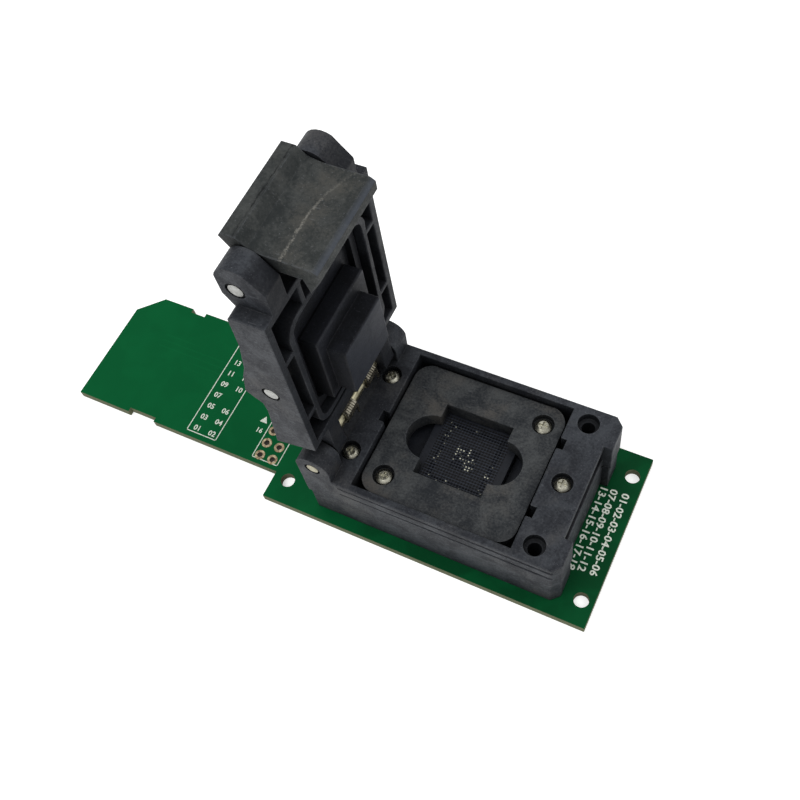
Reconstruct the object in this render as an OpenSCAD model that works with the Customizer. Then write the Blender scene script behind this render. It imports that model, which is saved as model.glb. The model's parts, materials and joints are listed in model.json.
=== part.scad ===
// Clamshell test socket for a small ball-grid chip, on a card-shaped adapter board.
// +X runs from the card tongue to the latch end, +Z is up, and the origin is the middle of the
// board's underside. The lid is drawn as if shut and then swung up to its open rest position.

/* [Board] */
// Length of the board with its card tongue
board_len = 101.2; // [100:0.1:104]
// Width of the wide part of the board
board_w = 31.6; // [31:0.1:38]
// Thickness of the board
board_t = 1.6; // [1.2:0.1:2.4]
// Length of the card-shaped tongue
tongue_len = 42.7; // [42:0.1:44]
// Width of the card-shaped tongue
tongue_w = 24; // [23:0.1:25]
// Sideways offset of the tongue
tongue_shift = 1.1; // [0:0.1:2]
// Size of the tongue's cut corner
tongue_cut = 4.2; // [3:0.1:5]
// Depth of the two notches in the tongue's edges
notch_depth = 0.8; // [0.4:0.1:1.2]
// Diameter of the four corner holes
corner_hole_d = 2.5; // [2:0.1:3]
// Distance from a corner hole's centre to the long edge
corner_inset_y = 4.2; // [3.5:0.1:4.5]

/* [Header] */
// Number of header holes in a row
header_count = 8; // [4:1:8]
// Distance between header holes
header_pitch = 2.54; // [2.2:0.01:2.54]
// Diameter of a plated header hole
header_bore_d = 1.0; // [0.8:0.05:1.2]
// Diameter of a pad ring
pad_d = 1.85; // [1.7:0.05:2]

/* [Socket base] */
// Length of the socket base
base_len = 44.3; // [43.5:0.1:46]
// Width of the socket base
base_w = 27.8; // [27.4:0.1:30]
// Height of the socket base above the board
base_h = 13.9; // [13.5:0.1:15]
// Height of the lower housing
housing_h = 6.9; // [6.5:0.1:7.3]
// Bare board left beyond the latch end
end_margin = 5; // [4.5:0.1:6]
// Length of the opening for the floating plate
window_len = 27; // [26.5:0.1:28]
// Thickness of the side wall beside that opening
window_wall = 1.15; // [1:0.05:1.4]
// Depth of the latch recess in the end face
recess_depth = 1.5; // [1.2:0.1:1.8]
// Diameter of the free bolt holes beside the latch
bolt_hole_d = 2.2; // [1.8:0.1:2.4]

/* [Chip seat] */
// Chip pocket along the socket
pocket_len = 11.6; // [10:0.1:12]
// Chip pocket across the socket
pocket_w = 13.1; // [11.5:0.1:13.5]
// Depth of the pocket below the floating plate's top
pocket_depth = 3.5; // [3.2:0.1:3.8]
// Radius of the two finger cuts
finger_r = 4; // [3.5:0.1:4.2]
// Distance between contacts
contact_pitch = 0.5; // [0.45:0.01:0.52]
// Thickness of a contact pin
contact_t = 0.2; // [0.16:0.01:0.24]
// Downward travel of the floating plate
plate_travel = 0.4; // [0.2:0.05:0.45]

/* [Hinge and lid] */
// Distance from the base's rear end to the hinge axis
hinge_setback = 3.3; // [3.1:0.1:3.6]
// Height of the hinge axis above the base
hinge_rise = 2.8; // [2.7:0.1:3]
// Diameter of the hinge pin
hinge_pin_d = 2; // [1.6:0.1:2.2]
// Radius of the hinge lugs
lug_r = 2.9; // [2.7:0.1:3]
// Width of one hinge lug
lug_w = 3.8; // [3.2:0.1:4]
// Height of the lid from rim to top
lid_h = 5.8; // [5.6:0.1:6.4]
// Thickness of the lid's outer wall
lid_wall = 1.3; // [1.1:0.1:1.4]
// Diameter of the pusher pin and the latch pin
cross_pin_d = 2.2; // [1.8:0.1:2.4]

/* [Latch] */
// Width of the latch
latch_w = 15.5; // [14:0.1:15.6]
// Thickness of the latch paddle
latch_t = 2.4; // [2:0.1:2.6]
// Width of one latch ear on the lid
ear_w = 3.7; // [3:0.1:3.8]

/* [Clearances] */
// Gap round the floating plate
plate_gap = 0.35; // [0.25:0.05:0.5]
// Side gap between hinge, ear and latch parts
side_gap = 0.25; // [0.2:0.05:0.3]
// Radial gap of a turning pin
run_gap = 0.05; // [0.03:0.01:0.08]
// Radial gap of a fixed pin or screw
fixed_gap = 0.03; // [0.02:0.01:0.05]
// Gap between lid rim and base when shut
rim_gap = 0.4; // [0.3:0.05:0.6]
// Gap between blocks that drop into each other
seat_gap = 0.15; // [0.1:0.01:0.2]

/* [Hidden] */
$fn = 48;
cut = 0.5;
lid_open = 90;

black_plastic = [0.16, 0.16, 0.165];
dark_plastic = [0.11, 0.11, 0.12];
board_green = [0.04, 0.33, 0.17];
bright_steel = [0.75, 0.75, 0.77];
pale_gold = [0.83, 0.7, 0.38];

// Board outline
board_x1 = board_len / 2;
board_x0 = -board_x1;
tongue_x1 = board_x0 + tongue_len;
tongue_near = tongue_shift - tongue_w / 2;
tongue_far = tongue_shift + tongue_w / 2;
corner_end_inset = 2.1;
corner_rear_inset = 2.7;
corner_pitch_x = board_len - tongue_len - corner_end_inset - corner_rear_inset;
corner_pitch_y = board_w - 2 * corner_inset_y;
corner_x = board_x1 - corner_end_inset - corner_pitch_x / 2;
notch_x = board_x0 + 10.6;
far_notch_len = 3;
near_notch_len = 5.6;

// Card contacts and header
card_pad_pitch = 2.5;
card_pad_w = 1.7;
card_pad_len = 4.2;
card_pad_inset = 1.4;
card_pad_t = 0.05;
header_x = tongue_x1 - 1.8;
header_y0 = tongue_near + 1.7;
barrel_r = header_bore_d / 2 + 0.25;
pad_t = 0.04;

// Levels of the base
split_z = board_t + housing_h;
frame_top = board_t + base_h;
base_x1 = board_x1 - end_margin;
base_x0 = base_x1 - base_len;
end_chamfer = 1.3;
housing_inset = 0.25;
groove_d = 0.25;
groove_h = 0.35;

// Opening, plate and contact block
window_x0 = base_x0 + 9.1;
window_w = base_w - 2 * window_wall;
chip_x = window_x0 + window_len / 2;
plate_len = window_len - 2 * plate_gap;
plate_w = window_w - 2 * plate_gap;
plate_r = 3;
plate_top = frame_top - 1.3;
chip_floor = plate_top - pocket_depth;
plate_bottom = chip_floor + plate_travel + 0.1;
block_top = split_z - 0.1;
block_len = 26;
block_w = pocket_w + 2.5;
platform_len = pocket_len + 2.6;
platform_w = pocket_w + 2.1;
flange_w = 0.8;
flange_t = 1;
retainer_t = 1.4;
key_w = 1.9;
key_d = 1.1;
key_y = window_w / 2 - 6.55;

// Contact field: two outer rings and a middle group
field_nx = floor((pocket_len - 1.2) / contact_pitch / 2) * 2;
field_ny = floor((pocket_w - 1.2) / contact_pitch / 2) * 2;
ring_count = 2;
core_half = 4;
tip_h = 0.12;
contact_gap = 0.04;

// Screws
head_r = 1.3;
head_h = 1;
shank_r = 0.95;
frame_screw_len = 11;
sink_r = 1.7;
sink_depth = 1.3;
rear_screw_x = base_x0 + 6.3;
rear_screw_y = base_w / 2 - 6.4;
front_screw_x = base_x1 - 5.05;
bolt_y = base_w / 2 - 2.85;
bolt_sink_r = 1.75;
bolt_sink_depth = 1.6;
board_screw_r = 1;
board_screw_head_r = 1.9;
board_screw_head_h = 1;
board_screw_y = base_w / 2 - 2.5;
board_screw_x = [base_x0 + 5.7, base_x1 - 9.1];
board_screw_top = board_t + 5;
plate_screw_dx = window_len / 2 - 3.6;
shoulder_r = 0.8;
shoulder_side_gap = 0.3;
plate_screw_dy = block_w / 2 + shoulder_r + shoulder_side_gap;
plate_bore_r = 1;
plate_sink_r = 1.8;
plate_sink_depth = 1.3;
plate_screw_low = split_z - 3.5;

// Springs
plate_spring_dx = window_len / 2 - 2.2;
plate_spring_dy = window_w / 2 - 6.75;
plate_spring_places = [for (sx = [-1, 1], sy = [-1, 1])
    [chip_x + sx * plate_spring_dx, sy * plate_spring_dy]];
plate_spring_r = 0.95;
plate_wire = 0.3;
plate_spring_turns = 5;
plate_spring_top = plate_bottom + 1.2;
spring_well_r = plate_spring_r + plate_wire / 2 + 0.35;
wire = 0.42;
coil_r = hinge_pin_d / 2 + 0.12 + wire / 2;
coil_turns = 7;
coil_pitch = 0.5;
coil_len = coil_turns * coil_pitch;
coil_side_gap = 0.7;
leg_len = 2.2;
tube_sides = 6;
turn_steps = 12;

// Hinge and lid levels
hinge_x = base_x0 + hinge_setback;
hinge_z = frame_top + hinge_rise;
trough_r = lug_r + 0.35;
eye_r = lug_r - 0.3;
lug_inner = base_w / 2 - lug_w;
arm_y1 = lug_inner - side_gap;
arm_w = 2.9;
arm_inner = arm_y1 - arm_w;
far_coil_y = arm_inner - coil_side_gap - coil_len;
near_coil_y = far_coil_y - coil_len - arm_inner / 2;
rim_z = frame_top + rim_gap;
lid_top = rim_z + lid_h;
lid_x1 = base_x1 - 0.2;
lid_rear_low = window_x0 + 2.1;
lid_rear_top = window_x0 + 0.3;
lid_web_x = hinge_x + lug_r + 0.4;
lid_ceiling = lid_top - 1.2;
cross_r = cross_pin_d / 2;
pin_ring = 0.35;
pusher_x = chip_x + 3.2;
pusher_z = hinge_z + 1.55;

// Ring wall inside the lid and the pusher in it
ring_x0 = pusher_x - 12.4;
ring_x1 = pusher_x + 13.4;
ring_w = base_w - 6.4;
ring_t = 1;
ring_r = 3;
rib_t = 0.9;
carrier_gap = 0.35;
carrier_top = rim_z + 3.3;
carrier_face = rim_z + 1.4;
carrier_hollow = rim_z + 2.5;
barrel_w_r = cross_r + 1;
press_len = pocket_len - 1.2;
press_w = pocket_w - 2.5;
press_x0 = chip_x - press_len / 2 - 0.2;
press_face = chip_floor + 1.5;
press_step = 1;
boss_face = rim_z - 0.6;
boss_reach = 1.6;
boss_rise = 3;
carrier_len = ring_x1 - ring_x0 - 2 * (ring_t + carrier_gap);
carrier_w = ring_w - 2 * (ring_t + carrier_gap);
carrier_cx = (ring_x0 + ring_x1) / 2;
carrier_rim = 1.2;

// Latch and its ears
latch_x = base_x1 + 2.9;
latch_z = hinge_z + 2.2;
ear_y0 = latch_w / 2 + side_gap;
ear_r = 3;
latch_barrel_r = cross_r + 1.1;
slab_x1 = latch_x + 3.4;
slab_x0 = slab_x1 - latch_t;
lip_x1 = slab_x1 + 1.9;
thumb_z = latch_z + 3.4;
recess_w = latch_w + 0.9;
recess_x = base_x1 - recess_depth;
catch_x = recess_x - 1.4;
catch_low = frame_top - 4.6;
catch_top = frame_top - 1.3;
hook_low = catch_low - 0.4;
hook_tip_x = latch_x - 1.5;
hook_tip_z = catch_low + 1.4;

// ---------- shared shapes ----------

// Rectangle with round corners, centred
module rounded_outline(length, width, r) {
    square([length - 2 * r, width], center = true);
    square([length, width - 2 * r], center = true);
    for (sx = [-1, 1], sy = [-1, 1])
        translate([sx * (length / 2 - r), sy * (width / 2 - r)])
            circle(r);
}

// Outline of the base with cut corners, larger at the latch end
module base_outline(inset) {
    x0 = base_x0 + inset;
    x1 = base_x1 - inset;
    y = base_w / 2 - inset;
    c = end_chamfer;
    polygon([[x0 + 0.6, -y], [x1 - c, -y], [x1, -y + c], [x1, y - c], [x1 - c, y],
        [x0 + 0.6, y], [x0, y - 0.6], [x0, -y + 0.6]]);
}

// Extrudes a side profile, drawn as length and height, across the socket
module across(width, y = 0) {
    translate([0, y, 0])
        rotate([90, 0, 0])
            linear_extrude(width, center = true)
                children();
}

// Cylinder along Y
module cross_cylinder(r, width, y = 0) {
    translate([0, y, 0])
        rotate([90, 0, 0])
            cylinder(r = r, h = width, center = true);
}

// Swings what is drawn shut up to the open rest position
module opened() {
    translate([hinge_x, 0, hinge_z])
        rotate([0, -lid_open, 0])
            translate([-hinge_x, 0, -hinge_z])
                children();
}

// Pan-head screw, head up, with a cross recess; z = 0 is the underside of the head
module pan_screw(r_head, h_head, r_shank, length) {
    difference() {
        union() {
            cylinder(r = r_head, h = h_head * 0.6);
            translate([0, 0, h_head * 0.6])
                cylinder(r1 = r_head, r2 = r_head * 0.6, h = h_head * 0.4, $fn = 24);
            translate([0, 0, -length])
                cylinder(r = r_shank, h = length);
        }
        translate([0, 0, h_head])
            cube([r_head * 1.1, r_head * 0.28, h_head], center = true);
        translate([0, 0, h_head])
            cube([r_head * 0.28, r_head * 1.1, h_head], center = true);
    }
}

// One ring of points round a wire at angle a of a coil about Z
function coil_ring(p, a, slope, wire_r) =
    let (
        n = [cos(a), sin(a), 0],
        t = [-sin(a) * cos(slope), cos(a) * cos(slope), sin(slope)],
        b = cross(t, n)
    )
    [for (k = [0 : tube_sides - 1])
        p + wire_r * (cos(360 * k / tube_sides) * n + sin(360 * k / tube_sides) * b)];

// Coil of wire about Z with a straight leg at each end
module coil(r, wire_d, length, turns, leg) {
    n = turns * turn_steps;
    slope = atan(length / turns / (2 * PI * r));
    function angle(i) = 360 * i / turn_steps;
    function centre(i) = [r * cos(angle(i)), r * sin(angle(i)), wire_d / 2 + (length - wire_d) * i / n];
    function tangent(i) = [-sin(angle(i)), cos(angle(i)), 0];
    function end_ring(i, reach) = coil_ring(centre(i) + reach * tangent(i), angle(i), slope, wire_d / 2);
    turned = [for (i = [0 : n]) coil_ring(centre(i), angle(i), slope, wire_d / 2)];
    rings = leg > 0 ? concat([end_ring(0, -leg)], turned, [end_ring(n, leg)]) : turned;
    last = len(rings) - 1;
    sides = [for (i = [0 : last - 1], k = [0 : tube_sides - 1])
        let (m = (k + 1) % tube_sides, a = i * tube_sides, b = a + tube_sides)
        each [[a + k, b + m, a + m], [a + k, b + k, b + m]]];
    caps = [[for (k = [0 : tube_sides - 1]) k], [for (k = [tube_sides - 1 : -1 : 0]) last * tube_sides + k]];
    polyhedron([for (ring = rings) each ring], concat(sides, caps), convexity = 10);
}

// ---------- board ----------

// Outline of the board with the card tongue, its cut corner and its notches
module board_outline() {
    difference() {
        union() {
            translate([tongue_x1, -board_w / 2])
                square([board_x1 - tongue_x1, board_w]);
            polygon([[board_x0, tongue_near], [tongue_x1 + cut, tongue_near],
                [tongue_x1 + cut, tongue_far], [board_x0 + tongue_cut, tongue_far],
                [board_x0, tongue_far - tongue_cut]]);
        }
        translate([notch_x, tongue_far - notch_depth])
            square([far_notch_len, notch_depth + cut]);
        translate([notch_x + 0.4, tongue_near - cut])
            square([near_notch_len, notch_depth + cut]);
        for (sx = [-1, 1], sy = [-1, 1])
            translate([corner_x + sx * corner_pitch_x / 2, sy * corner_pitch_y / 2])
                circle(d = corner_hole_d);
    }
}

// Places its children at every header hole
module at_header() {
    for (i = [0, 1], j = [0 : header_count - 1])
        translate([header_x - i * header_pitch, header_y0 + j * header_pitch, 0])
            children();
}

// Nine contact fields of the card edge, as flat pads
module card_pad_shapes(h) {
    for (i = [0 : 7])
        translate([board_x0 + card_pad_inset, tongue_near + 1.9 + i * card_pad_pitch, 0])
            cube([card_pad_len, card_pad_w, h]);
    translate([board_x0 + tongue_cut + 0.6, tongue_far - 2.4, 0])
        cube([card_pad_len, card_pad_w * 0.8, h]);
}

// Places its children at the four screws that hold the socket to the board
module at_board_screws() {
    for (x = board_screw_x, sy = [-1, 1])
        translate([x, sy * board_screw_y, 0])
            children();
}

// Countersunk screw from below, grown by a gap when it is a hole
module board_screw(gap, top) {
    cylinder(r1 = board_screw_head_r + gap, r2 = board_screw_r + gap, h = board_screw_head_h);
    cylinder(r = board_screw_r + gap, h = top);
}

module adapter_board() {
    color(board_green)
        difference() {
            linear_extrude(board_t)
                board_outline();
            at_header() {
                translate([0, 0, -cut])
                    cylinder(r = barrel_r, h = board_t + 2 * cut);
                translate([0, 0, -cut])
                    cylinder(d = pad_d, h = cut + pad_t);
            }
            translate([0, 0, -cut])
                card_pad_shapes(cut + card_pad_t);
            at_board_screws() {
                board_screw(fixed_gap, board_t + cut);
                translate([0, 0, -cut])
                    cylinder(r = board_screw_head_r + fixed_gap, h = cut);
            }
        }
}

module header_pads() {
    color(pale_gold)
        at_header()
            difference() {
                union() {
                    cylinder(d = pad_d, h = pad_t);
                    cylinder(r = barrel_r, h = board_t);
                    translate([0, 0, board_t])
                        cylinder(d = pad_d, h = pad_t);
                }
                translate([0, 0, -cut])
                    cylinder(d = header_bore_d, h = board_t + 2 * cut);
            }
}

module card_contacts() {
    color(pale_gold)
        card_pad_shapes(card_pad_t);
}

module board_screws() {
    color(bright_steel)
        at_board_screws()
            difference() {
                board_screw(0, board_screw_top);
                cube([2.2, 0.5, 0.9], center = true);
                cube([0.5, 2.2, 0.9], center = true);
            }
}

// ---------- socket base ----------

// Latch recess down the end face, shared by frame and housing
module latch_recess() {
    translate([recess_x, -recess_w / 2, board_t - cut])
        cube([recess_depth + cut, recess_w, base_h + 2 * cut]);
}

// Places its children at the three screws that join frame and housing
module at_frame_screws() {
    for (sy = [-1, 1])
        translate([rear_screw_x, sy * rear_screw_y, frame_top - sink_depth])
            children();
    translate([front_screw_x, 0, frame_top - sink_depth])
        children();
}

// Places its children at the two free bolt holes
module at_bolt_holes() {
    for (sy = [-1, 1])
        translate([front_screw_x, sy * bolt_y, 0])
            children();
}

// Places its children at the two shoulder screws of the floating plate
module at_plate_screws() {
    for (s = [-1, 1])
        translate([chip_x + s * plate_screw_dx, s * plate_screw_dy, 0])
            children();
}

module lower_housing() {
    color(black_plastic)
        difference() {
            translate([0, 0, board_t])
                linear_extrude(housing_h)
                    base_outline(housing_inset);
            translate([chip_x - block_len / 2 - seat_gap, -block_w / 2 - seat_gap, board_t - cut])
                cube([block_len + 2 * seat_gap, block_w + 2 * seat_gap, housing_h + 2 * cut]);
            translate([chip_x - block_len / 2 - flange_w - seat_gap,
                -block_w / 2 - flange_w - seat_gap, board_t - cut])
                cube([block_len + 2 * (flange_w + seat_gap), block_w + 2 * (flange_w + seat_gap),
                    retainer_t + flange_t + cut]);
            latch_recess();
            at_frame_screws()
                translate([0, 0, -frame_screw_len - seat_gap])
                    cylinder(r = shank_r + fixed_gap, h = frame_screw_len);
            at_board_screws()
                cylinder(r = board_screw_r + fixed_gap, h = board_screw_top + seat_gap);
            at_plate_screws()
                translate([0, 0, plate_screw_low - seat_gap])
                    cylinder(r = shoulder_r + fixed_gap, h = housing_h);
            at_bolt_holes()
                translate([0, 0, board_t - cut])
                    cylinder(d = bolt_hole_d, h = housing_h + 2 * cut);
        }
}

// Squares of the contact field: outer rings and a middle group
module contact_squares(size) {
    for (i = [0 : field_nx - 1], j = [0 : field_ny - 1]) {
        edge = min(i, j, field_nx - 1 - i, field_ny - 1 - j);
        core = abs(i - (field_nx - 1) / 2) < core_half && abs(j - (field_ny - 1) / 2) < core_half;
        if (edge < ring_count || core)
            translate([chip_x + (i - (field_nx - 1) / 2) * contact_pitch,
                (j - (field_ny - 1) / 2) * contact_pitch])
                square(size, center = true);
    }
}

module contact_retainer() {
    color(dark_plastic)
        translate([0, 0, board_t])
            linear_extrude(retainer_t)
                difference() {
                    translate([chip_x, 0])
                        square([block_len + 2 * flange_w, block_w + 2 * flange_w], center = true);
                    contact_squares(contact_t + 2 * contact_gap);
                }
}

module contact_block() {
    flange_z = board_t + retainer_t;
    color(dark_plastic)
        difference() {
            translate([chip_x, 0, 0]) {
                translate([0, 0, flange_z])
                    linear_extrude(flange_t)
                        square([block_len + 2 * flange_w, block_w + 2 * flange_w], center = true);
                translate([0, 0, flange_z])
                    linear_extrude(block_top - flange_z)
                        square([block_len, block_w], center = true);
                translate([0, 0, flange_z])
                    linear_extrude(chip_floor - flange_z)
                        square([platform_len, platform_w], center = true);
            }
            translate([0, 0, flange_z - cut])
                linear_extrude(chip_floor - flange_z + 2 * cut)
                    contact_squares(contact_t + 2 * contact_gap);
        }
}

module contact_pins() {
    color(pale_gold)
        translate([0, 0, board_t])
            linear_extrude(chip_floor + tip_h - board_t)
                contact_squares(contact_t);
}

// Side profile of a hinge lug, from the housing line up to the round eye
module lug_profile() {
    polygon([[base_x0 + 0.4, split_z + 1], [hinge_x + lug_r, split_z + 1],
        [hinge_x + lug_r, hinge_z], [hinge_x - lug_r, hinge_z], [base_x0 + 0.4, hinge_z - 1.2]]);
    translate([hinge_x, hinge_z])
        circle(lug_r);
}

// Opening for the floating plate with its three small key slots
module window_outline() {
    translate([window_x0, -window_w / 2])
        square([window_len, window_w]);
    translate([window_x0 - key_d, -key_w / 2])
        square([key_d + cut, key_w]);
    for (sy = [-1, 1])
        translate([window_x0 + window_len - cut, sy * key_y - key_w / 2])
            square([key_d + cut, key_w]);
}

module socket_frame() {
    color(black_plastic)
        difference() {
            union() {
                translate([0, 0, split_z])
                    linear_extrude(frame_top - split_z)
                        base_outline(0);
                for (sy = [-1, 1])
                    across(lug_w, sy * (base_w - lug_w) / 2)
                        lug_profile();
            }
            translate([0, 0, split_z - cut])
                linear_extrude(frame_top - split_z + 2 * cut)
                    window_outline();
            translate([hinge_x, 0, hinge_z])
                cross_cylinder(trough_r, 2 * lug_inner);
            translate([hinge_x, 0, hinge_z])
                cross_cylinder(hinge_pin_d / 2 + fixed_gap, base_w + 2 * cut);
            for (sy = [-1, 1])
                translate([hinge_x, 0, hinge_z])
                    cross_cylinder(hinge_pin_d / 2 + pin_ring, 2 * pin_ring, sy * base_w / 2);
            latch_recess();
            translate([catch_x, -recess_w / 2, catch_low])
                cube([recess_depth + 2, recess_w, catch_top - catch_low]);
            for (sy = [-1, 1], z = [frame_top - 1.5, frame_top - 3.6])
                translate([base_x0 + 7, sy * (base_w / 2) - groove_d, z])
                    cube([base_len, 2 * groove_d, groove_h]);
            at_frame_screws() {
                cylinder(r = sink_r, h = sink_depth + hinge_rise);
                translate([0, 0, -frame_screw_len])
                    cylinder(r = shank_r + fixed_gap, h = frame_screw_len + cut);
            }
            at_bolt_holes() {
                translate([0, 0, frame_top - bolt_sink_depth])
                    cylinder(r = bolt_sink_r, h = bolt_sink_depth + cut);
                translate([0, 0, split_z - cut])
                    cylinder(d = bolt_hole_d, h = frame_top);
            }
        }
}

module frame_screws() {
    color(bright_steel)
        at_frame_screws()
            pan_screw(head_r, head_h, shank_r, frame_screw_len);
}

// ---------- floating plate ----------

module floating_plate() {
    color(black_plastic)
        difference() {
            translate([chip_x, 0, plate_bottom])
                linear_extrude(plate_top - plate_bottom)
                    rounded_outline(plate_len, plate_w, plate_r);
            translate([chip_x, 0, plate_bottom - cut])
                linear_extrude(plate_top - plate_bottom + 2 * cut) {
                    square([pocket_len, pocket_w], center = true);
                    for (s = [-1, 1])
                        translate([s * pocket_len / 2, 0])
                            circle(finger_r);
                }
            at_plate_screws() {
                translate([0, 0, plate_bottom - cut])
                    cylinder(r = plate_bore_r, h = plate_top);
                translate([0, 0, plate_top - plate_sink_depth])
                    cylinder(r = plate_sink_r, h = plate_sink_depth + cut);
            }
            for (place = plate_spring_places)
                translate([place.x, place.y, plate_spring_top - plate_top])
                    cylinder(r = spring_well_r, h = plate_top);
        }
}

module plate_screws() {
    head_z = plate_top - plate_sink_depth;
    color(bright_steel)
        at_plate_screws()
            translate([0, 0, head_z])
                pan_screw(head_r + 0.05, head_h, shoulder_r, head_z - plate_screw_low);
}

// One of the four springs under the floating plate
module plate_spring(i) {
    color(bright_steel)
        translate([plate_spring_places[i].x, plate_spring_places[i].y, block_top])
            coil(plate_spring_r, plate_wire, plate_spring_top - block_top, plate_spring_turns, 0);
}

// ---------- hinge ----------

module hinge_pin() {
    color(bright_steel)
        translate([hinge_x, 0, hinge_z])
            cross_cylinder(hinge_pin_d / 2, base_w - 0.1);
}

// One coil on the hinge pin, starting at y and running towards +Y
module hinge_coil(y, turned) {
    color(bright_steel)
        translate([hinge_x, y, hinge_z])
            rotate([-90, turned, 0])
                coil(coil_r, wire, coil_len, coil_turns, leg_len);
}

module hinge_spring_near() {
    hinge_coil(near_coil_y, 0);
}

module hinge_spring_far() {
    hinge_coil(far_coil_y, 0);
}

// ---------- lid ----------

// Side profile of the lid with the raised boss over the pusher pin
module lid_profile() {
    polygon([[lid_rear_low, rim_z], [lid_rear_top, lid_top + 1.4], [pusher_x - 6.4, lid_top + 0.4],
        [pusher_x - 4.2, lid_top + 0.6], [pusher_x - 2.4, lid_top + 2.6], [pusher_x - 1.6, lid_top + 2.85],
        [pusher_x + 2.6, lid_top + 2], [pusher_x + 5.2, lid_top + 1.1], [pusher_x + 11.6, lid_top],
        [lid_x1 - 0.6, lid_top - 0.1], [lid_x1, lid_top - 0.7], [lid_x1, rim_z]]);
}

// Side profile of the web and arms that reach back to the hinge pin
module arm_profile() {
    polygon([[hinge_x, hinge_z + eye_r], [lid_web_x, lid_top + 0.3], [lid_rear_top + 1, lid_top + 1.2],
        [lid_rear_low + 0.5, rim_z], [lid_web_x, rim_z], [hinge_x, hinge_z - eye_r + 0.1]]);
    translate([hinge_x, hinge_z])
        circle(eye_r);
}

// Side profile of the web between the arms, behind the lid's rear wall
module web_profile() {
    polygon([[lid_web_x, rim_z + 1.2], [lid_web_x, lid_top + 0.3], [lid_rear_top + 1, lid_top + 1.2],
        [lid_rear_low + 0.5, rim_z]]);
}

// Side profile of a latch ear, round over the pin
module ear_profile() {
    polygon([[lid_x1 - 1, rim_z], [latch_x + 1, rim_z], [latch_x + 3.2, latch_z - 2.7],
        for (a = [-30 : 15 : 90]) [latch_x + 1.4 + ear_r * cos(a), latch_z - 0.4 + ear_r * sin(a)],
        [latch_x - 1.6, latch_z + 2.5], [lid_x1 - 1, lid_top - 0.3]]);
}

// Channels round the ring wall, open towards the base
module lid_channels() {
    depth = lid_ceiling - rim_z;
    translate([0, 0, rim_z - cut])
        linear_extrude(depth + cut)
            difference() {
                translate([lid_rear_low + lid_wall, -base_w / 2 + lid_wall])
                    square([lid_x1 - lid_rear_low - 2 * lid_wall, base_w - 2 * lid_wall]);
                translate([carrier_cx, 0])
                    rounded_outline(ring_x1 - ring_x0, ring_w, ring_r);
                for (x = [pusher_x - 6.5, pusher_x + 8.2])
                    translate([x - rib_t / 2, -base_w / 2])
                        square([rib_t, base_w]);
                for (y = [-5.6, 5.6])
                    translate([ring_x1 - 2, y - rib_t / 2])
                        square([lid_x1 - ring_x1 + 2, rib_t]);
            }
}

module lid_frame() {
    color(black_plastic)
        opened()
            difference() {
                union() {
                    across(base_w)
                        lid_profile();
                    for (sy = [-1, 1]) {
                        across(arm_w, sy * (arm_y1 - arm_w / 2))
                            arm_profile();
                        across(ear_w, sy * (ear_y0 + ear_w / 2))
                            ear_profile();
                    }
                    across(2 * arm_y1)
                        web_profile();
                }
                lid_channels();
                translate([carrier_cx, 0, rim_z - cut])
                    linear_extrude(lid_ceiling - rim_z + cut)
                        rounded_outline(ring_x1 - ring_x0 - 2 * ring_t, ring_w - 2 * ring_t, ring_r - ring_t);
                translate([pusher_x, 0, pusher_z])
                    cross_cylinder(barrel_w_r + carrier_gap, ring_w - 2 * ring_t);
                translate([pusher_x, 0, pusher_z])
                    cross_cylinder(cross_r + fixed_gap, base_w + 2 * cut);
                translate([latch_x, 0, latch_z])
                    cross_cylinder(cross_r + fixed_gap, base_w + 2 * cut);
                translate([hinge_x, 0, hinge_z])
                    cross_cylinder(hinge_pin_d / 2 + run_gap, base_w + 2 * cut);
                for (sy = [-1, 1]) {
                    translate([pusher_x, 0, pusher_z])
                        cross_cylinder(cross_r + pin_ring, 2 * pin_ring, sy * base_w / 2);
                    translate([latch_x, 0, latch_z])
                        cross_cylinder(cross_r + pin_ring, 2 * pin_ring, sy * (ear_y0 + ear_w));
                }
            }
}

module pusher_pin() {
    color(bright_steel)
        opened()
            translate([pusher_x, 0, pusher_z])
                cross_cylinder(cross_r, base_w - 0.1);
}

module latch_pin() {
    color(bright_steel)
        opened()
            translate([latch_x, 0, latch_z])
                cross_cylinder(cross_r, 2 * (ear_y0 + ear_w) - 0.1);
}

// ---------- pusher ----------

module pusher_carrier() {
    color(black_plastic)
        opened()
            difference() {
                union() {
                    translate([carrier_cx, 0, carrier_face])
                        linear_extrude(carrier_top - carrier_face)
                            rounded_outline(carrier_len, carrier_w, ring_r - ring_t - carrier_gap);
                    translate([pusher_x, 0, pusher_z])
                        cross_cylinder(barrel_w_r, carrier_w);
                }
                translate([carrier_cx, 0, carrier_face - cut])
                    linear_extrude(carrier_hollow - carrier_face + cut)
                        rounded_outline(carrier_len - 2 * carrier_rim, carrier_w - 2 * carrier_rim, 2);
                translate([pusher_x, 0, pusher_z])
                    cross_cylinder(cross_r + run_gap, base_w);
            }
}

module pressure_block() {
    color(dark_plastic)
        opened() {
            translate([press_x0, -press_w / 2, press_face])
                cube([press_len, press_w, carrier_hollow - press_face]);
            translate([press_x0 - press_step, -press_w / 2 - boss_reach, boss_face])
                cube([press_len + press_step + boss_rise, press_w + 2 * boss_reach,
                    carrier_hollow - boss_face]);
        }
}

// ---------- latch ----------

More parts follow.
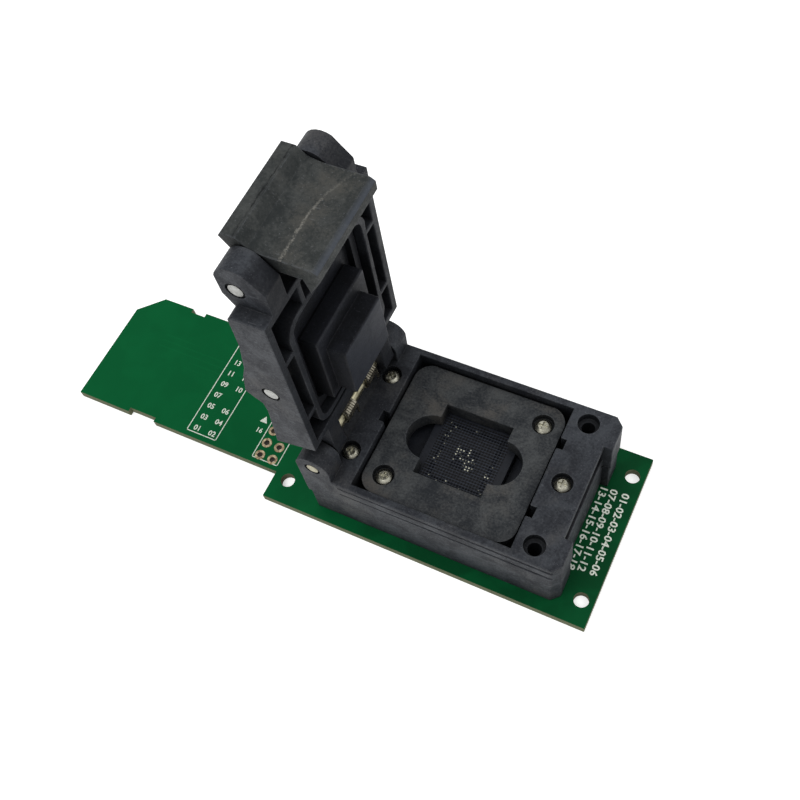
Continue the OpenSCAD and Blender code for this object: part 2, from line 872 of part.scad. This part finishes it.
// Side profile of the latch: thumb lip, paddle, hook and the web to its barrel
module latch_profile() {
    polygon([[slab_x0 + 0.5, thumb_z - 2], [lip_x1 - 0.6, thumb_z], [lip_x1, thumb_z - 0.4],
        [lip_x1, thumb_z - 2.5], [slab_x1 + 0.5, thumb_z - 3.9], [slab_x1, thumb_z - 5.8],
        [slab_x1, hook_low + 0.7], [slab_x1 - 0.5, hook_low], [slab_x0 + 0.4, hook_low],
        [hook_tip_x, hook_tip_z], [slab_x0 + 0.1, latch_z - 7.6], [slab_x0, latch_z - 6.2],
        [slab_x0, latch_z - 2], [latch_x - 0.5, latch_z - 1.9], [latch_x - 0.5, latch_z + 1.9],
        [slab_x0, latch_z + 2]]);
}

module latch() {
    color(black_plastic)
        opened()
            difference() {
                union() {
                    across(latch_w)
                        latch_profile();
                    translate([latch_x, 0, latch_z])
                        cross_cylinder(latch_barrel_r, latch_w);
                }
                translate([latch_x, 0, latch_z])
                    cross_cylinder(cross_r + run_gap, base_w);
            }
}

adapter_board();
header_pads();
card_contacts();
board_screws();
lower_housing();
contact_retainer();
contact_block();
contact_pins();
socket_frame();
frame_screws();
floating_plate();
plate_screws();
plate_spring(0);  // plate_spring_a
plate_spring(1);  // plate_spring_b
plate_spring(2);  // plate_spring_c
plate_spring(3);  // plate_spring_d
hinge_pin();
hinge_spring_near();
hinge_spring_far();
lid_frame();
pusher_pin();
pusher_carrier();
pressure_block();
latch_pin();
latch();
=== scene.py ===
import bmesh
import bpy
import json
import math
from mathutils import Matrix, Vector


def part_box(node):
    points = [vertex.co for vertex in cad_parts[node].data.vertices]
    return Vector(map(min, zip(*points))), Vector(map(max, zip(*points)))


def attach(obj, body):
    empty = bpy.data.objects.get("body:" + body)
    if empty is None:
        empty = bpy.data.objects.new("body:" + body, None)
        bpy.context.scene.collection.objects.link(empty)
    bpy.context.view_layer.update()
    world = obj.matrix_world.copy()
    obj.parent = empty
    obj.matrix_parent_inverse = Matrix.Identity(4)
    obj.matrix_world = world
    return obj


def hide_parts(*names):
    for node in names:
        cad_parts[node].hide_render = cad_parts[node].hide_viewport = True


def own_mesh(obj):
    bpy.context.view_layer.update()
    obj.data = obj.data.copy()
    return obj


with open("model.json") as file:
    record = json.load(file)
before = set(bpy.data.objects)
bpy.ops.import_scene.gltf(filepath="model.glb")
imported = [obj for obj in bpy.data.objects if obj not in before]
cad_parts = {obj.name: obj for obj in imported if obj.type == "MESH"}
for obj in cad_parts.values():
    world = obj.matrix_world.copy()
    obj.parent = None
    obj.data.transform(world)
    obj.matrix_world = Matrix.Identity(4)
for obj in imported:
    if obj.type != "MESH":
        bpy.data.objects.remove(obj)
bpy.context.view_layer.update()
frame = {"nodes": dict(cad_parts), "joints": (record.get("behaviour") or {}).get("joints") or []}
nodes = frame["nodes"]
mm = 0.001
print("test socket: frame loaded,", len(nodes), "nodes")

sizeOf = {name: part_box(name) for name in nodes}
plateLow, plateHigh = sizeOf["floating_plate"]
chipX = (plateLow.x + plateHigh.x) / 2


class Wire:  # one socket of a node tree; sums and products on it add Math nodes
    def __init__(self, bench, socket):
        self.bench, self.socket = bench, socket

    def maths(self, operation, other=None, turned=False):
        first, second = (other, self) if turned else (self, other)
        return self.bench.node("ShaderNodeMath", {"operation": operation}, {0: first, 1: second})

    def __add__(self, other): return self.maths("ADD", other)
    def __radd__(self, other): return self.maths("ADD", other)
    def __sub__(self, other): return self.maths("SUBTRACT", other)
    def __rsub__(self, other): return self.maths("SUBTRACT", other, True)
    def __mul__(self, other): return self.maths("MULTIPLY", other)
    def __rmul__(self, other): return self.maths("MULTIPLY", other)
    def __pow__(self, other): return self.maths("POWER", other)
    def __mod__(self, other): return self.maths("FLOORED_MODULO", other)
    def __gt__(self, other): return self.maths("GREATER_THAN", other)
    def __lt__(self, other): return self.maths("LESS_THAN", other)
    def __abs__(self): return self.maths("ABSOLUTE")
    def least(self, other): return self.maths("MINIMUM", other)
    def most(self, other): return self.maths("MAXIMUM", other)

    def step(self, low, high, fromValue=0.0, toValue=1.0):  # smooth ramp between two values
        settings = {"interpolation_type": "SMOOTHSTEP"}
        return self.bench.node("ShaderNodeMapRange", settings,
                               {0: self, 1: low, 2: high, 3: fromValue, 4: toValue})


class Bench:  # a node tree, with one way to add a node
    def __init__(self, tree):
        self.tree = tree

    def node(self, kind, settings=None, values=None, out=0):
        made = self.tree.nodes.new(kind)
        for key, value in (settings or {}).items():
            setattr(made, key, value)
        for key, value in (values or {}).items():
            if isinstance(value, Wire):
                self.tree.links.new(value.socket, made.inputs[key])
            elif value is not None:
                made.inputs[key].default_value = value
        return Wire(self, made.outputs[out])

    def sightline(self):  # 1 where the eye sees straight on, in a mirror or through glass
        rays = [self.node("ShaderNodeLightPath", out="Is " + kind + " Ray")
                for kind in ("Camera", "Glossy", "Transmission")]
        return rays[0].most(rays[1]).most(rays[2])


class Finish(Bench):  # a material under construction, patterns in millimetres
    def __init__(self, name):
        self.material = bpy.data.materials.new(name)
        self.material.use_nodes = True
        super().__init__(self.material.node_tree)
        self.shader = next(n for n in self.tree.nodes if n.type == "BSDF_PRINCIPLED")
        place = self.node("ShaderNodeTexCoord", out="Object")
        self.where = self.node("ShaderNodeMapping", {}, {"Vector": place, "Scale": (1000, 1000, 1000)})
        self.x, self.y, self.z = self.split(self.where)
        self.nx, self.ny, self.nz = self.split(self.node("ShaderNodeTexCoord", out="Normal"))

    def split(self, vector):
        x = self.node("ShaderNodeSeparateXYZ", {}, {0: vector})
        return [Wire(self, output) for output in x.socket.node.outputs]

    def noise(self, scale, detail=3, roughness=0.5, distortion=0.0, where=None):
        return self.node("ShaderNodeTexNoise", {}, {"Vector": where or self.where, "Scale": scale,
                         "Detail": detail, "Roughness": roughness, "Distortion": distortion})

    def stretched(self, sx, sy, sz, turn=(0, 0, 0)):
        return self.node("ShaderNodeMapping", {}, {"Vector": self.where, "Scale": (sx, sy, sz),
                         "Rotation": turn})

    def shifted(self, x, y, z):
        return self.node("ShaderNodeMapping", {}, {"Vector": self.where, "Location": (x, y, z)})

    def blend(self, amount, first, second):
        settings = {"data_type": "RGBA", "clamp_factor": True}
        return self.node("ShaderNodeMix", settings, {"Factor": amount, 6: first, 7: second}, out=2)

    def softened(self, radius):  # the surface's normal, turned gently over its edges
        return self.node("ShaderNodeBevel", {"samples": 4}, {"Radius": radius * mm})

    def sharpEdgeMask(self, soft):  # 0 on flat faces, about 1 on sharp edges
        plain = self.node("ShaderNodeNewGeometry", out="Normal")
        match = self.node("ShaderNodeVectorMath", {"operation": "DOT_PRODUCT"},
                          {0: soft, 1: plain}, out="Value")
        return (1.0 - match) * 4.0

    def bump(self, height, strength, distance, normal=None):
        return self.node("ShaderNodeBump", {}, {"Strength": strength, "Distance": distance * mm,
                         "Height": height, "Normal": normal})

    def done(self, **sockets):
        for key, value in sockets.items():
            target = self.shader.inputs[key.replace("_", " ")]
            if isinstance(value, Wire):
                self.tree.links.new(value.socket, target)
            else:
                target.default_value = value
        return self.material


def rgb(red, green, blue):  # a colour as seen, 0 to 255
    def linear(value):
        value = value / 255
        return value / 12.92 if value < 0.04045 else ((value + 0.055) / 1.055) ** 2.4
    return (linear(red), linear(green), linear(blue), 1)


blackPlastic = {"dark": rgb(31, 33, 38), "light": rgb(58, 61, 66), "warm": rgb(67, 65, 63),
                "edge": rgb(104, 107, 112), "paintedShadeColour": rgb(7, 8, 11), "rough": 0.52, "blotch": 0.22,
                "round": 0.2, "machined": 0, "shade": 0.82, "shadeReach": 7}


def plasticFinish(name, look, scuffs=None):  # glass-filled plastic: cloudy, speckled, pale edges that are partly worn and partly a painted edge highlight, and painted shade in its recesses
    f = Finish(name)
    cloud = f.noise(look["blotch"], 4, 0.62, 0.7)
    haze = f.noise(look["blotch"] * 0.55, 3, 0.55, 0.4, f.shifted(31, 17, 5))
    grain = f.noise(2.6, 3, 0.65)
    fine = f.noise(14, 2, 0.6)
    tone = (cloud * 0.6 + grain * 0.4).step(0.36, 0.66)
    base = f.blend(tone, look["dark"], look["light"])
    base = f.blend(haze.step(0.48, 0.68) * tone * 0.6, base, look["warm"])
    soft = f.softened(look["round"])
    # pale edges: partly edge wear, partly a painted edge highlight
    edgeWearAndHighlight = (f.sharpEdgeMask(soft) * f.noise(1.3, 3, 0.6).step(0.36, 0.62, 0.2, 1.0)).least(1.0)
    base = f.blend(edgeWearAndHighlight * 0.6, base, look["edge"])
    scratch = f.noise(1.1, 1, 0.3, 0.2, f.stretched(0.5, 3.2, 1.6, (0, 0, 0.7))).step(0.74, 0.78)
    chips = f.noise(5.2, 1, 0.3, 0, f.shifted(9, 3, 1)).step(0.7, 0.76)
    base = f.blend((scratch * 0.25 + chips * 0.4).least(1.0), base, look["edge"])
    # painted shade: recesses are darkened towards a near-black colour by ambient occlusion
    paintedShadeAO = f.node("ShaderNodeAmbientOcclusion", {"samples": 6},
                     {"Distance": look["shadeReach"] * mm}, out="AO")
    base = f.blend(paintedShadeAO.step(0.3, 0.92, 1.0, 0.0) * look["shade"], base, look["paintedShadeColour"])
    height = grain * 0.5 + fine * 0.35 + cloud * 0.5
    if look["machined"]:
        lines = f.noise(5.0, 1, 0.4, 0.0, f.stretched(0.06, 1.4, 0.4, (0, 0, 0.12)))
        height = height + lines * look["machined"]
        base = f.blend(lines.step(0.5, 0.75) * look["machined"] * 0.4, base, look["light"])
    if scuffs:
        base, height = scuffs(f, base, height)
    rough = look["rough"] - tone * 0.14 + fine * 0.16 + haze * 0.05
    return f.done(Base_Color=base, Roughness=rough, Normal=f.bump(height, 0.4, 0.06, soft),
                  Specular_IOR_Level=0.14)


latchLook = dict(blackPlastic, dark=rgb(38, 41, 41), light=rgb(63, 65, 64), warm=rgb(71, 68, 62),
                 round=0.45, foldX=1.1, lipX=12.2, scuffX=7.2, bend=0.034, wide=0.3,
                 lipLight=rgb(72, 77, 86), foldBand=rgb(27, 31, 32), creaseShade=rgb(9, 11, 12), rub=rgb(118, 116, 110))


def latchScuffs(f, base, height):  # darker patchy band beside the fold, painted shade in the fold's crease, painted light on the lip and a pale rubbed line across the face
    wander = (f.noise(0.8, 4, 0.75, 0.5) - 0.5) * 2.4
    top = f.nz.step(0.6, 0.8)
    creaseShade = abs(f.x - latchLook["foldX"] + wander * 0.35)
    foldBand = abs(f.x - latchLook["foldX"] - 1.6 + wander).step(0.3, 2.2, 1.0, 0.0)
    patchy = f.noise(0.45, 3, 0.6, 0, f.shifted(4, 8, 2)).step(0.36, 0.56)
    # a darker patchy band beside the fold
    base = f.blend(foldBand * patchy * top * 0.8, base, latchLook["foldBand"])
    # painted light: a paler bluish band along the top of the lip
    base = f.blend(f.x.step(latchLook["lipX"] - 0.7, latchLook["lipX"]) * top * 0.6, base, latchLook["lipLight"])
    # painted shade: a dark line along the fold's crease
    dark = creaseShade.step(0.04, 0.2, 1.0, 0.0) * top * patchy.most(0.35)
    base = f.blend(dark * 0.9, base, latchLook["creaseShade"])
    path = latchLook["scuffX"] + ((f.y + 1).most(0.0) ** 2) * latchLook["bend"] + wander * 0.35
    rub = abs(f.x - path).step(0.03, latchLook["wide"], 1.0, 0.0) * f.y.step(-2, 6, 1.0, 0.3)
    rub = rub * f.noise(3.0, 3, 0.7).step(0.36, 0.6) * top
    base = f.blend(rub * 0.8, base, latchLook["rub"])
    return base, height + rub * 0.8 - creaseShade.step(0.05, 0.3, 1.0, 0.0) * top * 2.0


lidLook = dict(blackPlastic, innerShadeColour=rgb(13, 15, 19), innerShadeAmount=0.55)


def paintedInnerShade(f, base, height):  # painted shade: faces turned towards +X, the side that shuts over the chip, are darker
    return f.blend(f.nx.step(0.5, 0.8) * lidLook["innerShadeAmount"], base, lidLook["innerShadeColour"]), height


plastic = plasticFinish("black_plastic", blackPlastic)
lidPlastic = plasticFinish("lid_plastic", lidLook, paintedInnerShade)
plateLook = dict(blackPlastic, dark=rgb(29, 32, 36), light=rgb(68, 70, 71), warm=rgb(80, 75, 69),
                 blotch=0.2, machined=0.5)
platePlastic = plasticFinish("plate_plastic", plateLook)
latchPlastic = plasticFinish("latch_plastic", latchLook, latchScuffs)
# pusher plastic: a darker copy of the black plastic, painted shade for the parts inside the lid
pusherLook = dict(blackPlastic, dark=rgb(12, 14, 18), light=rgb(30, 32, 38), warm=rgb(32, 32, 34),
                  edge=rgb(84, 87, 95), paintedLitFace=rgb(39, 42, 49), faceX=sizeOf["pressure_block"][1].x / mm)


def litPusherFace(f, base, height):  # painted light: the face that meets the chip, turned towards +X, is painted paler
    paintedLitFace = f.x.step(pusherLook["faceX"] - 0.35, pusherLook["faceX"] - 0.1) * f.nx.step(0.6, 0.9)
    patchy = f.noise(0.5, 3, 0.6).step(0.2, 0.7, 0.6, 1.0)
    return f.blend(paintedLitFace * patchy, base, pusherLook["paintedLitFace"]), height


shadedPusherPlastic = plasticFinish("pusher_plastic", pusherLook, litPusherFace)
print("test socket: plastics ready")

contactField = {"pitch": 0.5, "boreRadius": 0.16, "halfX": 5.8, "halfY": 6.5, "dark": rgb(13, 15, 21),
                "light": rgb(34, 37, 44), "ridge": rgb(52, 58, 71), "shadedBore": rgb(3, 3, 5),
                "edge": rgb(70, 72, 78)}


def contactFinish():  # block with its grid of contact bores
    f = Finish("contact_block")
    topZ = sizeOf["contact_block"][1].z / mm
    pitch, radius = contactField["pitch"], contactField["boreRadius"]
    across = f.x - chipX / mm
    u = abs((across % pitch) - pitch / 2)
    v = abs((f.y % pitch) - pitch / 2)
    field = (abs(across) < contactField["halfX"]) * (abs(f.y) < contactField["halfY"])
    top = (f.z > topZ - 0.05) * field
    shadedBore = ((u * u + v * v) ** 0.5).step(radius, radius + 0.05, 1.0, 0.0) * top
    cloud = f.noise(0.9, 3, 0.6)
    base = f.blend(cloud, contactField["dark"], contactField["light"])
    ridge = v.step(0.16, 0.24) * f.noise(1.6, 2, 0.6).step(0.35, 0.6)
    base = f.blend(ridge * top * 0.65, base, contactField["ridge"])
    # painted shade: the bores are filled with a near-black colour
    base = f.blend(shadedBore, base, contactField["shadedBore"])
    soft = f.softened(0.15)
    # painted edge highlight: the block's sharp edges are blended paler
    base = f.blend(f.sharpEdgeMask(soft).least(1.0) * 0.5, base, contactField["edge"])
    height = 1.0 - shadedBore + f.noise(9, 2) * 0.2
    return f.done(Base_Color=base, Roughness=0.48 + shadedBore * 0.2, Normal=f.bump(height, 0.5, 0.08, soft),
                  Specular_IOR_Level=0.2)


board = {"near": rgb(3, 54, 27), "tongue": rgb(0, 80, 41), "pour": rgb(4, 94, 50),
         "track": rgb(12, 106, 58), "edge": (rgb(62, 70, 54), rgb(140, 141, 114)), "weave": 2.2,
         "pitch": 1.27, "laneY": -0.79, "trackFromX": -42, "trackToX": -13,
         "trackY": 1, "trackHalfY": 9.5}


def boardFinish():  # glossy green mask over copper, with a pale glass-fibre edge
    f = Finish("solder_mask")
    flat = abs(f.nz) > 0.5
    run = f.noise(0.16, 2, 0.5, 0.4)
    lanes = abs(((f.y - board["laneY"]) % board["pitch"]) - board["pitch"] / 2)
    swerve = f.noise(0.12, 1, 0.4, 0.0, f.stretched(0.3, 1.2, 1)).step(0.52, 0.56)
    zone = (f.x < board["trackToX"]) * (f.x > board["trackFromX"])
    zone = zone * (abs(f.y - board["trackY"]) < board["trackHalfY"])
    track = lanes.step(0.1, 0.16, 1.0, 0.0) * swerve * zone
    pour = f.noise(0.07, 1, 0.3).step(0.42, 0.46)
    warp = f.noise(board["weave"], 2, 0.5, 0, f.stretched(1, 0.2, 1))
    weave = warp + f.noise(board["weave"], 2, 0.5, 0, f.stretched(0.2, 1, 1))
    # painted shade: the mask turns to the darker near colour towards the socket end
    green = f.blend(f.x.step(-12, 20), board["tongue"], board["near"])
    green = f.blend(run.step(0.4, 0.65) * 0.25 + weave * 0.06, green, board["pour"])
    green = f.blend(track * 0.12 + pour * 0.05, green, board["track"])
    layers = f.noise(1.0, 3, 0.6, 0, f.stretched(0.6, 0.6, 14))
    base = f.blend(flat, f.blend(layers, *board["edge"]), green)
    height = track * 0.4 + pour * 0.4 + weave * 0.08
    return f.done(Base_Color=base, Roughness=0.75 - flat * 0.42 + weave * 0.05,
                  Normal=f.bump(height, 0.25, 0.03), Specular_IOR_Level=0.05)


goldPlating = {"dark": rgb(164, 128, 66), "bright": rgb(214, 182, 110), "blotch": 1.4, "rough": 0.25}
padPlating = {"dark": rgb(116, 98, 78), "bright": rgb(186, 172, 142), "blotch": 1.8, "rough": 0.42,
              "shadedBore": rgb(30, 24, 16)}


def platedFinish(name, look):  # plated copper, slightly cloudy, with painted shade down in its bores
    f = Finish(name)
    fine = f.noise(12, 2, 0.5)
    base = f.blend(f.noise(look["blotch"], 3, 0.6).step(0.35, 0.7), look["dark"], look["bright"])
    if "shadedBore" in look:
        # painted shade: the bore walls, which face sideways, are darkened
        base = f.blend(abs(f.nz).step(0.3, 0.7, 1.0, 0.0) * 0.85, base, look["shadedBore"])
    return f.done(Base_Color=base, Metallic=1.0, Roughness=look["rough"] + fine * 0.12,
                  Normal=f.bump(fine, 0.15, 0.02))


contactTips = {"dull": rgb(30, 31, 35), "lit": rgb(202, 202, 184), "near": 2.0, "far": 6.5}


def tipFinish():  # fine contact tips, only some of them catching the light
    f = Finish("contact_tips")
    perPin = 1 / contactField["pitch"]
    cell = f.node("ShaderNodeVectorMath", {"operation": "FLOOR"}, {0: f.stretched(perPin, perPin, 0)})
    chance = f.node("ShaderNodeTexWhiteNoise", {}, {"Vector": cell}, out="Value")
    reach = ((f.x - chipX / mm) ** 2 + f.y ** 2) ** 0.5
    middle = reach.step(contactTips["near"], contactTips["far"], 1.0, 0.0)
    lit = (chance + middle * 0.24).step(0.8, 1.12)
    base = f.blend(lit, contactTips["dull"], contactTips["lit"])
    return f.done(Base_Color=base, Metallic=1.0, Roughness=0.45 - lit * 0.1,
                  Normal=f.bump(f.noise(12, 2), 0.15, 0.02))


# each steel: roughness, stretch of its grain, darkest and lightest shade, height of its grain
steels = {"screw_steel": (0.27, (1, 1, 1), rgb(112, 110, 98), rgb(186, 184, 170), 0.03),
          "pin_steel": (0.25, (1, 0.1, 1), rgb(112, 112, 108), rgb(172, 173, 170), 0.12),
          "hinge_pin_steel": (0.3, (1, 0.1, 1), rgb(112, 107, 86), rgb(180, 175, 150), 0.12),
          "spring_steel": (0.28, (1, 0.3, 1), rgb(88, 84, 74), rgb(172, 167, 152), 0.12)}


def steelFinish(name, rough, along, low, high, tooth):
    f = Finish(name)
    grain = f.noise(9, 3, 0.6, 0, f.stretched(*along))
    cloud = f.noise(0.8, 3, 0.6)
    base = f.blend((grain * 0.5 + cloud * 0.5).step(0.3, 0.7), low, high)
    return f.done(Base_Color=base, Metallic=1.0, Roughness=rough + grain * 0.14,
                  Normal=f.bump(grain, tooth, 0.02, f.softened(0.08)))


screwSteel, pinSteel, hingeSteel, springSteel = [steelFinish(name, *steels[name]) for name in steels]
finishOf = {
    "adapter_board": boardFinish(), "header_pads": platedFinish("header_plating", padPlating),
    "card_contacts": platedFinish("contact_gold", goldPlating), "contact_pins": tipFinish(),
    "board_screws": screwSteel, "frame_screws": screwSteel, "plate_screws": screwSteel,
    "lower_housing": plastic, "socket_frame": plastic, "floating_plate": platePlastic,
    "contact_block": contactFinish(), "contact_retainer": shadedPusherPlastic,
    "plate_spring_a": springSteel, "plate_spring_b": springSteel, "plate_spring_c": springSteel,
    "plate_spring_d": springSteel, "hinge_spring_near": springSteel, "hinge_spring_far": springSteel,
    "hinge_pin": hingeSteel, "pusher_pin": pinSteel, "latch_pin": pinSteel, "lid_frame": lidPlastic,
    "pusher_carrier": shadedPusherPlastic, "pressure_block": shadedPusherPlastic, "latch": latchPlastic,
}
for name, material in finishOf.items():
    for slot in nodes[name].material_slots:
        slot.material = material
print("test socket: finishes on the CAD nodes")

# each rounded solid: piece, body, slot, width, shortest edge that is rounded, steps
rounding = {"pressure_block": ("chipPresser", "pusher", "dark_plastic", 0.3, 1.0, 3),
            "lid_frame": ("lidShell", "lid", "black_plastic", 0.22, 1.4, 2),
            "socket_frame": ("socketBody", "base", "black_plastic", 0.22, 1.4, 2),
            "lower_housing": ("housingFoot", "base", "black_plastic", 0.18, 1.6, 2),
            "floating_plate": ("chipPlate", "plate", "black_plastic", 0.15, 1.0, 2)}
edgeWork = {"merge": 0.002, "flat": 1, "sharp": 40, "smooth": 32}


def standIn(name, pieceName, body):  # merged copy of a solid, left in edit mode
    bpy.ops.object.select_all(action="DESELECT")
    piece = bpy.data.objects.new(pieceName, nodes[name].data.copy())
    bpy.context.scene.collection.objects.link(piece)
    piece.select_set(True)
    bpy.context.view_layer.objects.active = piece
    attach(piece, body)
    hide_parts(name)
    bpy.ops.mesh.customdata_custom_splitnormals_clear()
    bpy.ops.object.mode_set(mode="EDIT")
    bpy.ops.mesh.select_mode(type="EDGE")
    bpy.ops.mesh.select_all(action="SELECT")
    bpy.ops.mesh.remove_doubles(threshold=edgeWork["merge"] * mm)
    return piece


def roundEdges(piece, width, shortest, steps):  # rounds off the long sharp edges
    bpy.ops.mesh.dissolve_limited(angle_limit=math.radians(edgeWork["flat"]))
    bpy.ops.mesh.select_all(action="DESELECT")
    form = bmesh.from_edit_mesh(piece.data)
    for edge in form.edges:
        if len(edge.link_faces) == 2 and edge.calc_length() > shortest * mm:
            edge.select_set(edge.calc_face_angle_signed(0) > math.radians(edgeWork["sharp"]))
    bmesh.update_edit_mesh(piece.data)
    bpy.ops.mesh.bevel(offset=width * mm, segments=steps, affect="EDGES", clamp_overlap=False)
    bpy.ops.object.mode_set(mode="OBJECT")
    bpy.ops.object.shade_smooth_by_angle(angle=math.radians(edgeWork["smooth"]))
    even = piece.modifiers.new("even", "WEIGHTED_NORMAL")  # flat faces stay flat beside the rounding
    even.keep_sharp, even.weight = True, 100
    bpy.ops.object.modifier_apply(modifier="even")


for name, (pieceName, body, slot, width, shortest, steps) in rounding.items():
    roundEdges(standIn(name, pieceName, body), width, shortest, steps)
print("test socket: edges rounded")

plateJoint = next(joint for joint in frame["joints"] if joint["name"] == "plate_travel")
plateSprings = {"travel": plateJoint["range_m"][1], "joint": plateJoint["name"], "smooth": 50}
for letter in "abcd":  # the plate's springs, as merged, smooth-shaded copies
    name = "plate_spring_" + letter
    spring = standIn(name, "plateSpring" + letter.upper(), "base")
    bpy.ops.object.mode_set(mode="OBJECT")
    bpy.ops.object.shade_smooth_by_angle(angle=math.radians(plateSprings["smooth"]))
    foot, crown = sizeOf[name]
    1 - plateSprings["travel"] / (crown.z - foot.z)
    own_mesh(spring)
print("test socket: plate springs")

marks = {
    "line": 0.16, "lift": 0.012, "thick": 0.02, "bold": 0.03,
    "rows": 8, "firstY": -8.95, "rowStep": 2.44, "labelSize": 1.45, "oddX": -25.6, "evenX": -22.5,
    "coveredRow": 3,  # this row has its odd number only
    "frames": ((-27.3, -9.85, -21.2, 9.65), (-13.45, -9.95, -8.35, 9.9)),
    "pinCount": ("16", -14.8, -5.0, 1.3), "arrow": (-14.9, -2.9, 0.85),
    "columns": ((48.6, "01-02-03-04-05-06", 0.5), (46.6, "07-08-09-10-11-12", 0.5),
                (44.95, "13-14-15-16-17-18", 0.3)),
    "columnSize": 1.75, "columnBold": 0.035, "columnLength": 15.4,
    "thin": rgb(176, 190, 172), "full": rgb(226, 230, 220),
}
inkZ = sizeOf["adapter_board"][1].z + marks["lift"] * mm


def inkFinish():  # screen-printed white ink, thinner in patches
    f = Finish("marking_ink")
    patch = f.noise(4.5, 3, 0.6)
    base = f.blend(patch.step(0.3, 0.62), marks["thin"], marks["full"])
    return f.done(Base_Color=base, Roughness=0.6 + patch * 0.1, Normal=f.bump(patch, 0.2, 0.02))


def markNumber(words, x, y, size, bold, turn=0, length=None):  # printed numbers as a thin mesh
    bpy.ops.object.select_all(action="DESELECT")
    bpy.ops.object.text_add(location=(0, 0, 0))
    text = bpy.context.object
    text.data.body = words
    text.data.size = size * mm
    text.data.extrude = marks["thick"] / 2 * mm
    text.data.offset = bold * mm
    text.data.resolution_u = 2
    text.data.align_x, text.data.align_y = "CENTER", "CENTER"
    bpy.ops.object.convert(target="MESH")
    text = bpy.context.object
    if length:
        text.scale.x = length * mm / text.dimensions.x
    text.location = (x * mm, y * mm, inkZ)
    text.rotation_euler = (0, 0, math.radians(turn))
    bpy.ops.object.transform_apply(location=True, rotation=True, scale=True)
    return text


def markBar(x0, y0, x1, y1):  # one printed line
    bpy.ops.object.select_all(action="DESELECT")
    wide = marks["line"] * mm
    length = math.hypot(x1 - x0, y1 - y0) * mm + wide
    bpy.ops.mesh.primitive_cube_add(size=1)
    bar = bpy.context.object
    bar.scale = (length, wide, marks["thick"] * mm)
    bar.rotation_euler = (0, 0, math.atan2(y1 - y0, x1 - x0))
    bar.location = ((x0 + x1) / 2 * mm, (y0 + y1) / 2 * mm, inkZ)
    bpy.ops.object.transform_apply(location=True, rotation=True, scale=True)
    return bar


def joined(parts, name):
    bpy.ops.object.select_all(action="DESELECT")
    for part in parts:
        part.select_set(True)
    bpy.context.view_layer.objects.active = parts[0]
    bpy.ops.object.join()
    whole = bpy.context.object
    whole.name = name
    return whole


def markArrow(x, y, radius):  # triangle that points at the first row
    bpy.ops.object.select_all(action="DESELECT")
    bpy.ops.mesh.primitive_cylinder_add(vertices=3, radius=radius * mm, depth=marks["thick"] * mm,
                                        location=(x * mm, y * mm, inkZ))
    bpy.ops.object.transform_apply(location=True, rotation=True, scale=True)
    return bpy.context.object


printed = []
for row in range(marks["rows"]):  # numbers that repeat the header's own rows
    y = marks["firstY"] + marks["rowStep"] * row
    odd, even = str(2 * row + 1).zfill(2), str(2 * row + 2).zfill(2)
    printed.append(markNumber(odd, marks["oddX"], y, marks["labelSize"], marks["bold"]))
    if row != marks["coveredRow"]:
        printed.append(markNumber(even, marks["evenX"], y, marks["labelSize"], marks["bold"]))
for x0, y0, x1, y1 in marks["frames"]:
    for bar in ((x0, y0, x1, y0), (x1, y0, x1, y1), (x1, y1, x0, y1), (x0, y1, x0, y0)):
        printed.append(markBar(*bar))
printed.append(markNumber(*marks["pinCount"], marks["bold"]))
printed.append(markArrow(*marks["arrow"]))
for x, words, y in marks["columns"]:
    printed.append(markNumber(words, x, y, marks["columnSize"], marks["columnBold"], -90,
                              marks["columnLength"]))
boardMarks = joined(printed, "boardMarks")
boardMarks.data.materials.clear()
boardMarks.data.materials.append(inkFinish())
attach(boardMarks, "base")
print("test socket: printed marks")

view = {"place": (64.53, -64.73, 164.54), "turn": (29.505, 6.960, 25.957), "lens": 47.726,
        "sensor": 36, "nearest": 5}
bpy.ops.object.camera_add(location=[value * mm for value in view["place"]],
                          rotation=[math.radians(value) for value in view["turn"]])
camera = bpy.context.object
camera.data.sensor_width = view["sensor"]
camera.data.lens = view["lens"]
camera.data.clip_start = view["nearest"] * mm
bpy.context.scene.camera = camera

studio = {"world": 0.62, "floor": 0.88, "lift": 0.45, "floorSize": 4, "floorZ": -0.04,
          "aim": (0, 0, 20), "lampSize": 0.4,
          "lamps": {"key": ((-100, -240, 660), 1.9), "fill": ((360, 100, 580), 0.8)}}
white = (1, 1, 1, 1)


def floorFinish():  # matt white that also glows a little where it is seen
    f = Finish("floor_white")
    f.done(Base_Color=(studio["floor"],) * 3 + (1,), Roughness=0.9, Specular_IOR_Level=0.1)
    glow = f.node("ShaderNodeEmission", {}, {"Color": white, "Strength": f.sightline() * studio["lift"]})
    both = f.node("ShaderNodeAddShader", {}, {0: Wire(f, f.shader.outputs[0]), 1: glow})
    output = next(n for n in f.tree.nodes if n.type == "OUTPUT_MATERIAL")
    f.tree.links.new(both.socket, output.inputs[0])
    return f.material


bpy.ops.mesh.primitive_plane_add(size=studio["floorSize"], location=(0, 0, studio["floorZ"] * mm))
floor = bpy.context.object
floor.name = "floor"
floor.data.materials.append(floorFinish())

world = bpy.data.worlds.new("studio")
bpy.context.scene.world = world
world.use_nodes = True
air = Bench(world.node_tree)
backdrop = air.tree.nodes["Background"]
backdrop.inputs["Color"].default_value = white
brightness = studio["world"] + (1 - studio["world"]) * air.sightline()  # full white where it is seen
air.tree.links.new(brightness.socket, backdrop.inputs["Strength"])


def areaLight(name, place, watts):  # soft round lamp that points at the socket
    place = Vector(place) * mm
    bpy.ops.object.light_add(type="AREA", location=place)
    lamp = bpy.context.object
    lamp.name = name
    lamp.data.shape = "DISK"
    lamp.data.size = studio["lampSize"]
    lamp.data.energy = watts
    lamp.rotation_euler = (Vector(studio["aim"]) * mm - place).to_track_quat("-Z", "Y").to_euler()


for name, (place, watts) in studio["lamps"].items():
    areaLight(name, place, watts)
bpy.context.scene.view_settings.view_transform = "Standard"
print("test socket: camera, floor and lamps")
